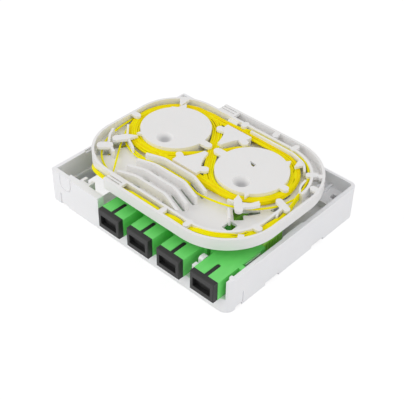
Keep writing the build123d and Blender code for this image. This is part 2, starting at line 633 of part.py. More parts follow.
def make_cap(x):
    """Dust cap: a flange with a grip pocket, a hollow plug and the key strip on top."""
    cap = block(x - CAP_W / 2, x + CAP_W / 2, CAP_FRONT, PORT_FRONT,
                PORT_AXIS_Z - CAP_H / 2, PORT_AXIS_Z + CAP_H / 2)
    cap = chamfer(cap.faces().sort_by(Axis.Y)[0].edges(), CAP_EDGE)
    cap -= block(x - CAP_POCKET_W / 2, x + CAP_POCKET_W / 2, CAP_FRONT - 1, CAP_FRONT + CAP_POCKET,
                 PORT_AXIS_Z - CAP_POCKET_H / 2, PORT_AXIS_Z + CAP_POCKET_H / 2)
    w, h = SOCKET_W - 2 * CAP_FIT, SOCKET_H - 2 * CAP_FIT
    plug = block(x - w / 2, x + w / 2, PORT_FRONT - 0.1, PORT_FRONT + CAP_PLUG,
                 PORT_AXIS_Z - h / 2, PORT_AXIS_Z + h / 2)
    plug -= block(x - w / 2 + CAP_WALL, x + w / 2 - CAP_WALL, PORT_FRONT + 0.8, PORT_FRONT + CAP_PLUG + 1,
                  PORT_AXIS_Z - h / 2 + CAP_WALL, PORT_AXIS_Z + h / 2 - CAP_WALL)
    key_w = KEYWAY_W - 2 * CAP_FIT
    key = plate(bar(x, PORT_FRONT - 0.5, x, PORT_FRONT + KEYWAY_LEN - KEYWAY_W / 2 - CAP_FIT, key_w),
                PORT_AXIS_Z + h / 2 - 0.3, PORT_Z + PORT_H - 0.1)
    key -= block(x - 2, x + 2, PORT_FRONT - 3, PORT_FRONT - 0.2, 0, 30)
    return cap + plug + key


def make_grip(x):
    """Square grip of a plug seated in the port's back socket."""
    y0, y1 = PORT_BACK - GRIP_INSIDE, PORT_BACK + GRIP_OUTSIDE
    grip = block(x - GRIP_W / 2, x + GRIP_W / 2, y0, y1, PORT_AXIS_Z - GRIP_H / 2, PORT_AXIS_Z + GRIP_H / 2)
    grip = fillet(grip.edges().filter_by(Axis.Y), 0.6)
    for step in range(5):
        y = PORT_BACK + 3.0 + 1.8 * step
        for s in (-1, 1):
            cx = x + s * GRIP_W / 2
            grip -= block(cx - 0.35, cx + 0.35, y, y + 0.8, PORT_AXIS_Z - 2.6, PORT_AXIS_Z + 2.6)
    grip -= block(x - CORE_W / 2 - CORE_FIT, x + CORE_W / 2 + CORE_FIT, y0 - 1, y1 + 1,
                  PORT_AXIS_Z - CORE_H / 2 - CORE_FIT, PORT_AXIS_Z + CORE_H / 2 + CORE_FIT)
    return grip


def make_core(x):
    """Inner frame of the plug with its ferrule and the crimp stem behind it."""
    y0, y1 = PORT_BACK - GRIP_INSIDE + 0.6, PORT_BACK + GRIP_OUTSIDE - 1.0
    core = block(x - CORE_W / 2, x + CORE_W / 2, y0, y1, PORT_AXIS_Z - CORE_H / 2, PORT_AXIS_Z + CORE_H / 2)
    middle = PORT_FRONT + PORT_LEN / 2
    # The frame is hollow where the port's tube enters it
    core -= Pos(x, y0 - 1, PORT_AXIS_Z) * Rot(-90, 0, 0) * Cylinder(
        TUBE_R + CORE_FIT, middle + TUBE_LEN / 2 - y0 + 1.3, align=(Align.CENTER, Align.CENTER, Align.MIN))
    ferrule = Pos(x, middle + 0.1, PORT_AXIS_Z) * Rot(-90, 0, 0) * Cylinder(
        FERRULE_R, y1 - middle - 0.1, align=(Align.CENTER, Align.CENTER, Align.MIN))
    stem = Pos(x, y1 - 0.5, PORT_AXIS_Z) * Rot(-90, 0, 0) * Cylinder(
        STEM_R, STEM_LEN, align=(Align.CENTER, Align.CENTER, Align.MIN))
    return core + ferrule + stem


def boot_tip():
    """Y of the boots' thin ends."""
    return PORT_BACK + GRIP_OUTSIDE + BOOT_LEN


def make_boot(x):
    """Short tapered boot on the crimp stem."""
    y0 = PORT_BACK + GRIP_OUTSIDE
    profile = wedge((0, y0 - 0.8), (BOOT_R, y0 - 0.8), (BOOT_R, y0 + 2.0), (BOOT_TIP_R, boot_tip()), (0, boot_tip()))
    boot = revolve(profile, Axis.Y, 360)
    stem = Rot(-90, 0, 0) * Cylinder(STEM_R + STEM_FIT, STEM_LEN + 0.1, align=(Align.CENTER, Align.CENTER, Align.MIN))
    fibre = Rot(-90, 0, 0) * Cylinder(FIBRE_R + 0.02, 40)
    boot -= Pos(0, y0 - 1.5, 0) * stem
    boot -= Pos(0, y0, 0) * fibre
    return Pos(x, 0, PORT_AXIS_Z) * boot


# Fibre

def lap_ring(x):
    """Flat ring of wound fibre round one disc."""
    return Pos(x, DISC_Y) * (Circle(LAP_OUT) - Circle(LAP_IN))


def make_laps():
    """Outer shape of the turns wound round both discs and across between them."""
    left, right = DISC_X
    mean = (LAP_IN + LAP_OUT) / 2
    half = (right - left) / 2
    turn = acos(mean / half)
    reach = sqrt(half ** 2 - mean ** 2)
    face = lap_ring(left) + lap_ring(right)
    dx, dy = reach * sin(turn), reach * cos(turn)
    mid = left + half
    cross_a = Pos(mid, DISC_Y) * Rot(0, 0, degrees(atan2(-dy, dx))) * Rectangle(2 * reach, LAP_BAND)
    cross_b = Pos(mid, DISC_Y) * Rot(0, 0, degrees(atan2(dy, dx))) * Rectangle(2 * reach, LAP_BAND)
    top = Pos(mid, DISC_Y + mean + 0.6) * Rectangle(2 * half, 2.4)
    bottom = Pos(mid, ISLAND_FRONT - 0.7) * Rectangle(2 * half, 1.0)
    island = island_outline(DISC_Y + ISLAND_TIP, ISLAND_BACK) + island_outline(ISLAND_FRONT, DISC_Y - ISLAND_TIP)
    face = face + cross_a + cross_b + top + bottom - offset(island, 0.2)
    return plate(face, LAP_BASE, LAP_BASE + LAP_H)


def main():
    """Write every piece."""
    os.makedirs("parts", exist_ok=True)
    write("housing", make_housing())
    write("splice_tray", make_tray())
    for number, x in enumerate(PORT_X, start=1):
        write(f"adapter_{number}", make_port(x))
        write(f"alignment_sleeve_{number}", make_sleeve(x))
        write(f"spring_clip_{number}", make_clip(x))
        write(f"dust_cap_{number}", make_cap(x))
        write(f"plug_grip_{number}", make_grip(x))
        write(f"plug_core_{number}", make_core(x))
        write(f"plug_boot_{number}", make_boot(x))
    write("fibre_laps", make_laps())


main()
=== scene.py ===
"""Fibre termination box: an open wall housing with four capped ports and a hinged splice tray.

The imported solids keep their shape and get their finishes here. The wound fibre and the fibre
leads are built strand by strand and stand for the plain solids of the fibre. Lengths are in
metres. Routes are written about the middle of the housing's footprint, as in the part's source.
"""

import json
import logging
from collections.abc import Callable
from dataclasses import dataclass
from enum import Enum
from math import acos, cos, pi, radians, sin

import bpy
import numpy as np
from mathutils import Matrix, Vector


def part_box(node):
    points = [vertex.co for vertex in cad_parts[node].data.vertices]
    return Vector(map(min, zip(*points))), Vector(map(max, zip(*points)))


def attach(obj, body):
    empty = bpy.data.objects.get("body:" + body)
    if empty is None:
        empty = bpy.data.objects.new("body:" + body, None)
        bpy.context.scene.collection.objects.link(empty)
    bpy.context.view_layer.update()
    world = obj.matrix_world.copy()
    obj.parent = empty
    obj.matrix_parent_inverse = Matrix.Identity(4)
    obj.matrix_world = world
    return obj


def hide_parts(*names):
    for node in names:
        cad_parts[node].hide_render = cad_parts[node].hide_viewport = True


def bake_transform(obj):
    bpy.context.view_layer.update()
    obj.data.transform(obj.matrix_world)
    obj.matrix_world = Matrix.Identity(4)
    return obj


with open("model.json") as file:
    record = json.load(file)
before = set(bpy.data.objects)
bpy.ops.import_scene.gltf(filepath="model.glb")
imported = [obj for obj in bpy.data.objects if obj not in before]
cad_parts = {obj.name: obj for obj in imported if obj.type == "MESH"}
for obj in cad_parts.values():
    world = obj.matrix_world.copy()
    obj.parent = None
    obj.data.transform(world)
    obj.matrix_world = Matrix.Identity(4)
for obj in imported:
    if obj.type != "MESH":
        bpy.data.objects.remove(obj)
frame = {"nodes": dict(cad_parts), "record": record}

LOG = logging.getLogger("fibre_box")
MM = 0.001
FIBRE_R = 0.45 * MM
WHITE = (1.0, 1.0, 1.0, 1.0)

Colour = tuple[float, float, float]
Point = tuple[float, float, float]
Dish = tuple[float, float, float]    # X, Y and radius of a dished recess
Turn = tuple[float, float, float]    # a turn's radius round the left disc, round the right one, and height

# From the origin to the middle of the housing's footprint
FRAME_STEP = (0.0, sum(corner[1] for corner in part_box("housing")) / 2, 0.0)

# The tray's two discs and the dished recess in each, in millimetres
DISCS_X = (-25.7, 19.8)
DISCS_Y = 9.4
DISC_R = 16.3
DISH_SHIFT = (2.0, -9.2)
DISH_R = 3.9


class Sock:
    """An output of a shader node. Arithmetic on it adds Math nodes."""

    def __init__(self, graph: "Graph", socket: bpy.types.NodeSocket) -> None:
        """Wrap one output socket.

        Args:
            graph: The node tree that the socket belongs to.
            socket: The output socket.
        """
        self.graph = graph
        self.socket = socket

    def math(self, operation: str, *operands: "Sock | float") -> "Sock":
        """Add a Math node.

        Args:
            operation: Name of the node's operation.
            operands: Its inputs, in order.

        Returns:
            The node's output.
        """
        return self.graph.node("ShaderNodeMath", {"operation": operation}, dict(enumerate(operands)))

    def __add__(self, other: "Sock | float") -> "Sock":
        """Sum."""
        return self.math("ADD", self, other)

    def __radd__(self, other: float) -> "Sock":
        """Sum with a number on the left."""
        return self.math("ADD", other, self)

    def __sub__(self, other: "Sock | float") -> "Sock":
        """Difference."""
        return self.math("SUBTRACT", self, other)

    def __rsub__(self, other: float) -> "Sock":
        """Difference with a number on the left."""
        return self.math("SUBTRACT", other, self)

    def __mul__(self, other: "Sock | float") -> "Sock":
        """Product."""
        return self.math("MULTIPLY", self, other)

    def __rmul__(self, other: float) -> "Sock":
        """Product with a number on the left."""
        return self.math("MULTIPLY", other, self)

    def clamp(self) -> "Sock":
        """The value held between 0 and 1."""
        return self.math("MINIMUM", self.math("MAXIMUM", self, 0.0), 1.0)

    def step(self, low: float, high: float) -> "Sock":
        """A smooth step.

        Args:
            low: Value below which the result is 0.
            high: Value above which the result is 1.

        Returns:
            The stepped value.
        """
        return self.graph.node(
            "ShaderNodeMapRange", {"interpolation_type": "SMOOTHSTEP"}, {0: self, 1: low, 2: high})


class Graph:
    """The node tree of one material or world."""

    def __init__(self, holder: bpy.types.Material | bpy.types.World) -> None:
        """Start with an empty tree.

        Args:
            holder: The material or world that the tree belongs to.
        """
        holder.use_nodes = True
        self.holder = holder
        self.tree = holder.node_tree
        self.tree.nodes.clear()

    def add(self, kind: str, settings: dict | None = None, inputs: dict | None = None) -> bpy.types.Node:
        """Add a node.

        Args:
            kind: The node's type.
            settings: Properties of the node, set before its inputs.
            inputs: Values or outputs for its input sockets, by name or number.

        Returns:
            The node.
        """
        node = self.tree.nodes.new(kind)
        for key, value in (settings or {}).items():
            setattr(node, key, value)
        for key, value in (inputs or {}).items():
            if isinstance(value, Sock):
                self.tree.links.new(value.socket, node.inputs[key])
            else:
                node.inputs[key].default_value = value
        return node

    def node(self, kind: str, settings: dict | None = None, inputs: dict | None = None,
             output: str | int = 0) -> Sock:
        """Add a node and take one of its outputs.

        Args:
            kind: The node's type.
            settings: Properties of the node.
            inputs: Values or outputs for its input sockets.
            output: Name or number of the output.

        Returns:
            The output.
        """
        return Sock(self, self.add(kind, settings, inputs).outputs[output])

    def place(self) -> Sock:
        """Object coordinates."""
        return self.node("ShaderNodeTexCoord", output="Object")

    def stretched(self, where: Sock, scale: Point) -> Sock:
        """Coordinates multiplied axis by axis; a small factor makes a pattern long on its axis."""
        return self.node("ShaderNodeMapping", None, {"Vector": where, "Scale": scale})

    def looked_at(self) -> Sock:
        """Tell the rays that show a surface as it is from those that light it.

        Returns:
            1 for the camera's rays and for glossy and transmitted ones, otherwise 0.
        """
        rays = self.add("ShaderNodeLightPath")
        kinds = [Sock(self, rays.outputs[f"Is {kind} Ray"]) for kind in ("Camera", "Glossy", "Transmission")]
        return (kinds[0] + kinds[1] + kinds[2]).clamp()

    def noise(self, where: Sock, size: float, detail: float = 2.0, rough: float = 0.5) -> Sock:
        """Soft noise.

        Args:
            where: Coordinates.
            size: Width of one feature in metres.
            detail: Number of finer layers.
            rough: Strength of the finer layers.

        Returns:
            The noise, about 0 to 1.
        """
        return self.node("ShaderNodeTexNoise", {"noise_dimensions": "3D"},
                         {"Vector": where, "Scale": 1 / size, "Detail": detail, "Roughness": rough}, "Fac")

    def blend(self, share: Sock, first: Colour | Sock, second: Colour | Sock) -> Sock:
        """Mix two colours.

        Args:
            share: How much of the second colour.
            first: Colour at share 0.
            second: Colour at share 1.

        Returns:
            The mixed colour.
        """
        pair = [c if isinstance(c, Sock) else (*c, 1.0) for c in (first, second)]
        return self.node("ShaderNodeMix", {"data_type": "RGBA"}, {0: share, 6: pair[0], 7: pair[1]}, 2)

    def bump(self, height: Sock, depth: float, strength: float = 1.0, normal: Sock | None = None) -> Sock:
        """Turn a height into a normal.

        Args:
            height: Height from 0 to 1.
            depth: Real depth in metres.
            strength: Share of the effect.
            normal: A normal to start from.

        Returns:
            The normal.
        """
        inputs = {"Strength": strength, "Distance": depth, "Height": height}
        if normal is not None:
            inputs["Normal"] = normal
        return self.node("ShaderNodeBump", None, inputs, "Normal")

    def surface(self, **inputs: "Sock | float | Colour") -> bpy.types.Material:
        """Close the material with one surface shader.

        Args:
            inputs: Shader inputs, with underscores for the spaces in their names.

        Returns:
            The finished material.
        """
        named = {key.replace("_", " "): value for key, value in inputs.items()}
        for key, value in named.items():
            if key.endswith("Color") and isinstance(value, tuple):
                named[key] = (*value, 1.0)
        shader = self.add("ShaderNodeBsdfPrincipled", None, named)
        end = self.add("ShaderNodeOutputMaterial")
        self.tree.links.new(shader.outputs[0], end.inputs["Surface"])
        return self.holder


@dataclass(frozen=True)
class MouldedPlastic:
    """White plastic from a fine eroded mould: faint flow clouds, a satin grain, and painted shade in any
    dished recesses.
    """

    name: str
    colour: Colour
    cloud: Colour
    roughness: float = 0.42
    flow: float = 9.0 * MM
    streak: float = 1.6 * MM
    wave: float = 5.0 * MM
    wave_depth: float = 0.03 * MM
    grain: float = 0.16 * MM
    grain_depth: float = 0.012 * MM
    softness: float = 0.06
    dishes: tuple[Dish, ...] = ()        # dished recesses, darkened with painted shade
    # painted shade: the grey that the dishes are darkened towards
    dish_painted_shade_colour: Colour = (0.36, 0.36, 0.37)
    dish_painted_shade_share: float = 0.75             # share of the painted shade colour at a dish's middle
    dish_painted_shade_ends: tuple[float, float] = (0.25, 1.02)   # the painted shade fades between these shares of the radius

    def shade(self, g: Graph, where: Sock, base: Sock) -> Sock:
        """Paint shade into the dished recesses, darker towards their bottoms.

        The share of the painted shade colour falls smoothly with the distance from a dish's middle,
        seen from above.

        Args:
            g: The material's nodes.
            where: Object coordinates.
            base: The plastic's colour.

        Returns:
            The colour, with painted shade in the dishes.
        """
        flat = g.node("ShaderNodeVectorMath", {"operation": "MULTIPLY"}, {0: where, 1: (1, 1, 0)})
        # painted shade, strongest at each dish's middle
        for x, y, radius in self.dishes:
            away = g.node("ShaderNodeVectorMath", {"operation": "DISTANCE"},
                          {0: flat, 1: (x, y, 0.0)}, "Value")
            faded = away.step(*(share * radius for share in self.dish_painted_shade_ends))
            base = g.blend((1.0 - faded) * self.dish_painted_shade_share, base, self.dish_painted_shade_colour)
        return base

    def material(self) -> bpy.types.Material:
        """Build the material.

        Returns:
            The material.
        """
        g = Graph(bpy.data.materials.new(self.name))
        where = g.place()
        cloud = g.noise(where, self.flow, 3.0).step(0.3, 0.75)
        streak = g.noise(g.stretched(where, (1.0, 0.12, 1.0)), self.streak, 2.0)
        grain = g.noise(where, self.grain, 2.0, 0.6)
        # painted shade in the dished recesses, laid over the flow clouds
        base = self.shade(g, where, g.blend(cloud * 0.35 + streak * 0.12, self.colour, self.cloud))
        normal = g.bump(g.noise(where, self.wave, 1.0), self.wave_depth, 0.4)
        normal = g.bump(grain, self.grain_depth, 0.6, normal)
        return g.surface(Base_Color=base, Roughness=self.roughness + (grain - 0.5) * 0.16 + cloud * 0.05,
                         Normal=normal, Subsurface_Weight=self.softness,
                         Subsurface_Radius=(1.2 * MM, 1.0 * MM, 0.9 * MM), Subsurface_Scale=1.0, IOR=1.5)


@dataclass(frozen=True)
class ColouredPlastic:
    """Semi-gloss coloured plastic with faint swirls of pigment and sink marks."""

    name: str
    colour: Colour
    swirl: Colour
    roughness: float = 0.3
    coat: float = 0.0
    swirl_size: float = 3.5 * MM
    sink: float = 3.0 * MM
    sink_depth: float = 0.05 * MM
    grain: float = 0.12 * MM
    grain_depth: float = 0.006 * MM

    def material(self) -> bpy.types.Material:
        """Build the material.

        Returns:
            The material.
        """
        g = Graph(bpy.data.materials.new(self.name))
        where = g.place()
        swirl = g.noise(g.stretched(where, (1.0, 0.35, 1.6)), self.swirl_size, 4.0, 0.55).step(0.35, 0.8)
        grain = g.noise(where, self.grain, 2.0)
        sink = g.noise(where, self.sink, 1.0)
        base = g.blend(swirl * 0.6, self.colour, self.swirl)
        normal = g.bump(grain, self.grain_depth, 0.7, g.bump(sink, self.sink_depth, 0.6))
        return g.surface(Base_Color=base, Roughness=self.roughness + grain * 0.08, Normal=normal,
                         Coat_Weight=self.coat, Coat_Roughness=0.2, IOR=1.5)


@dataclass(frozen=True)
class SoftCap:
    """Soft black cap plastic: matt, a little dusty, with a fine pebble."""

    name: str
    colour: Colour
    dust: Colour
    patch: float = 2.4 * MM
    speck: float = 0.3 * MM
    pebble: float = 0.22 * MM
    pebble_depth: float = 0.015 * MM

    def material(self) -> bpy.types.Material:
        """Build the material.

        Returns:
            The material.
        """
        g = Graph(bpy.data.materials.new(self.name))
        where = g.place()
        pebble = g.node("ShaderNodeTexVoronoi", {"feature": "SMOOTH_F1"},
                        {"Vector": where, "Scale": 1 / self.pebble, "Smoothness": 0.6}, "Distance")
        patches = g.noise(where, self.patch, 4.0, 0.6).step(0.45, 0.8)
        dust = (patches * g.noise(where, self.speck, 2.0)).clamp()
        base = g.blend(dust * 0.7, self.colour, self.dust)
        return g.surface(Base_Color=base, Roughness=0.5 + dust * 0.2, IOR=1.5,
                         Normal=g.bump(pebble, self.pebble_depth, 0.7))


@dataclass(frozen=True)
class SpringSteel:
    """Bright rolled strip: fine lines along the strip and faint handling marks."""

    name: str = "spring_steel"
    colour: Colour = (0.86, 0.86, 0.87)
    handled: Colour = (0.6, 0.6, 0.61)
    mark: float = 2.0 * MM
    line: float = 0.05 * MM
    line_depth: float = 0.004 * MM

    def material(self) -> bpy.types.Material:
        """Build the material.

        Returns:
            The material.
        """
        g = Graph(bpy.data.materials.new(self.name))
        where = g.place()
        lines = g.noise(g.stretched(where, (0.04, 1.0, 0.04)), self.line, 3.0)
        marks = g.noise(where, self.mark, 4.0).step(0.5, 0.9)
        base = g.blend(marks * 0.3, self.colour, self.handled)
        return g.surface(Base_Color=base, Metallic=1.0, Roughness=0.4 + lines * 0.14 + marks * 0.1,
                         Normal=g.bump(lines, self.line_depth, 0.5))


@dataclass(frozen=True)
class Ceramic:
    """Polished white ceramic of the split sleeves."""

    name: str = "sleeve_ceramic"
    colour: Colour = (0.88, 0.87, 0.83)
    cloud: Colour = (0.78, 0.76, 0.7)
    grain: float = 0.4 * MM
    grain_depth: float = 0.003 * MM

    def material(self) -> bpy.types.Material:
        """Build the material.

        Returns:
            The material.
        """
        g = Graph(bpy.data.materials.new(self.name))
        where = g.place()
        grain = g.noise(where, self.grain, 3.0)
        base = g.blend(grain.step(0.35, 0.75) * 0.3, self.colour, self.cloud)
        return g.surface(Base_Color=base, Roughness=0.12 + grain * 0.1, IOR=1.7,
                         Normal=g.bump(grain, self.grain_depth, 0.4))


@dataclass(frozen=True)
class FibreCoat:
    """Smooth yellow buffer coating, slightly uneven along its length."""

    name: str = "fibre_coat"
    colour: Colour = (0.99, 0.93, 0.001)
    amber: Colour = (0.96, 0.66, 0.0005)
    stretch: float = 6.0 * MM
    grain: float = 0.25 * MM
    grain_depth: float = 0.004 * MM

    def material(self) -> bpy.types.Material:
        """Build the material.

        Returns:
            The material.
        """
        g = Graph(bpy.data.materials.new(self.name))
        where = g.place()
        along = g.noise(where, self.stretch, 2.0).step(0.35, 0.75)
        shade = g.node("ShaderNodeAttribute", {"attribute_name": "strand_shade"}, None, "Fac")
        grain = g.noise(where, self.grain, 2.0)
        base = g.blend((along * 0.15 + shade * 0.6).clamp(), self.colour, self.amber)
        return g.surface(Base_Color=base, Roughness=0.42 + grain * 0.1, IOR=1.4,
                         Normal=g.bump(grain, self.grain_depth, 0.5), Specular_IOR_Level=0.12)


class Finish(Enum):
    """The finishes of the part, by the record's slot."""

    HOUSING = "housing_plastic"
    TRAY = "tray_plastic"
    ADAPTER = "adapter_plastic"
    SLEEVE = "sleeve_ceramic"
    CLIP = "clip_steel"
    CAP = "cap_plastic"
    GRIP = "grip_plastic"
    CORE = "core_plastic"
    BOOT = "boot_rubber"
    FIBRE = "fibre_coating"


# where the tray's finish paints shade: X, Y and radius of each dish, in metres
DISHES = tuple(((x + DISH_SHIFT[0]) * MM, (DISCS_Y + DISH_SHIFT[1]) * MM + FRAME_STEP[1], DISH_R * MM)
               for x in DISCS_X)
RECIPES = {
    Finish.HOUSING: MouldedPlastic("housing_white", (0.93, 0.93, 0.94), (0.905, 0.905, 0.92)),
    # the tray's finish paints shade into its two dished recesses
    Finish.TRAY: MouldedPlastic("tray_white", (0.895, 0.886, 0.872), (0.875, 0.864, 0.845),
                                roughness=0.46, dishes=DISHES),
    Finish.ADAPTER: ColouredPlastic("adapter_green", (0.175, 0.78, 0.165), (0.14, 0.70, 0.14), coat=0.1),
    Finish.SLEEVE: Ceramic(),
    Finish.CLIP: SpringSteel(),
    Finish.CAP: SoftCap("cap_black", (0.013, 0.013, 0.013), (0.042, 0.042, 0.042)),
    Finish.GRIP: ColouredPlastic("grip_green", (0.38, 0.86, 0.10), (0.31, 0.78, 0.08), roughness=0.34),
    Finish.CORE: ColouredPlastic("core_white", (0.74, 0.74, 0.71), (0.66, 0.66, 0.63), roughness=0.38),
    Finish.BOOT: ColouredPlastic("boot_green", (0.1, 0.42, 0.07), (0.07, 0.33, 0.05), roughness=0.55),
    Finish.FIBRE: FibreCoat(),
}


class Palette:
    """Finished materials, each built once."""

    def __init__(self) -> None:
        """Build every material."""
        self.materials = {finish: recipe.material() for finish, recipe in RECIPES.items()}

    def dress(self, node: bpy.types.Object, finish: Finish) -> None:
        """Give a node its finish.

        Args:
            node: The object to dress.
            finish: Which finish it takes.
        """
        node.data.materials.clear()
        node.data.materials.append(self.materials[finish])


def in_frame(points: np.ndarray) -> np.ndarray:
    """Turn points in millimetres about the middle of the housing into the part's frame.

    Args:
        points: Points, one a row.

    Returns:
        The points in metres.
    """
    return points * MM + np.array(FRAME_STEP)


def ramp(value: np.ndarray, start: float, stop: float) -> np.ndarray:
    """Rise evenly from 0 to 1 as the value goes from start to stop.

    Args:
        value: Values, of any number.
        start: Value at which the result is 0, as it is on that side of it.
        stop: Value at which the result is 1, as it is beyond it.

    Returns:
        The ramp at each value.
    """
    return np.clip((value - start) / (stop - start), 0.0, 1.0)


@dataclass
class Strands:
    """Builder of thin round strands along smooth lines."""

    radius: float = FIBRE_R
    sides: int = 10              # faces round a strand
    steps: int = 4               # points that the spline gives for each of its own
    tip: float = 0.75            # radius of an open end, as a share

    def line(self, points: np.ndarray, closed: bool) -> np.ndarray:
        """Read a smooth line from a NURBS spline with the given control points.

        Args:
            points: Control points, one a row.
            closed: Whether the line joins up with its start.

        Returns:
            Points along the line, one a row.
        """
        curve = bpy.data.curves.new("line", "CURVE")
        curve.dimensions = "3D"
        curve.resolution_u = self.steps
        spline = curve.splines.new("NURBS")
        spline.points.add(len(points) - 1)
        spline.points.foreach_set("co", np.c_[points, np.ones(len(points))].ravel())
        spline.use_cyclic_u = closed
        spline.order_u = 3
        spline.use_endpoint_u = not closed
        holder = bpy.data.objects.new("line", curve)
        mesh = bpy.data.meshes.new_from_object(holder)
        found = np.empty(len(mesh.vertices) * 3)
        mesh.vertices.foreach_get("co", found)
        bpy.data.objects.remove(holder)
        bpy.data.curves.remove(curve)
        bpy.data.meshes.remove(mesh)
        return found.reshape(-1, 3)

    def skin(self, line: np.ndarray, closed: bool) -> tuple[np.ndarray, list]:
        """Carry a circle along a line.

        The point at (u, v) is line(u) + r (cos v side(u) + sin v over(u)), where side is the
        tangent turned level, over is square to both, and r narrows at open ends.

        Args:
            line: Points along the line.
            closed: Whether the line joins up with its start.

        Returns:
            Vertices and faces.
        """
        before, after = np.roll(line, 1, 0), np.roll(line, -1, 0)
        if not closed:
            before[0], after[-1] = line[0], line[-1]
        tangent = after - before
        tangent /= np.linalg.norm(tangent, axis=1)[:, None]
        side = np.cross(tangent, (0.0, 0.0, 1.0))
        side /= np.linalg.norm(side, axis=1)[:, None]
        over = np.cross(side, tangent)
        radius = np.full(len(line), self.radius)
        if not closed:
            radius[[0, -1]] *= self.tip
        angle = np.linspace(0, 2 * pi, self.sides, endpoint=False)[None, :, None]
        ring = np.cos(angle) * side[:, None, :] + np.sin(angle) * over[:, None, :]
        vertices = (line[:, None, :] + radius[:, None, None] * ring).reshape(-1, 3)
        rows = len(line) if closed else len(line) - 1
        u, v = np.meshgrid(np.arange(rows), np.arange(self.sides), indexing="ij")
        u2, v2 = (u + 1) % len(line), (v + 1) % self.sides
        corner = [a * self.sides + b for a, b in ((u, v), (u, v2), (u2, v2), (u2, v))]
        faces = np.stack(corner, -1).reshape(-1, 4).tolist()
        if not closed:
            last = (len(line) - 1) * self.sides
            faces.append(list(range(self.sides))[::-1])
            faces.append(list(range(last, last + self.sides)))
        return vertices, faces

    def build(self, name: str, routes: list[tuple[np.ndarray, bool]], shades: list[float],
              lift: Callable[[np.ndarray], np.ndarray] = lambda line: line) -> bpy.types.Object:
        """Make one object of several strands.

        Args:
            name: The object's name.
            routes: Control points of each strand, and whether it is closed.
            shades: How amber each strand is, 0 to 1.
            lift: Moves the smooth lines before they get their skin.

        Returns:
            The object, at the origin.
        """
        vertices, faces, tints, offset = [], [], [], 0
        for (points, closed), shade in zip(routes, shades):
            found, sides = self.skin(lift(self.line(points, closed)), closed)
            vertices.append(found)
            faces += [[index + offset for index in face] for face in sides]
            tints.append(np.full(len(found), shade))
            offset += len(found)
        mesh = bpy.data.meshes.new(name)
        mesh.from_pydata(np.concatenate(vertices).tolist(), [], faces)
        mesh.polygons.foreach_set("use_smooth", np.ones(len(mesh.polygons), bool))
        layer = mesh.attributes.new("strand_shade", "FLOAT", "POINT")
        layer.data.foreach_set("value", np.concatenate(tints).astype(np.float32))
        mesh.update()
        piece = bpy.data.objects.new(name, mesh)
        bpy.context.scene.collection.objects.link(piece)
        return piece


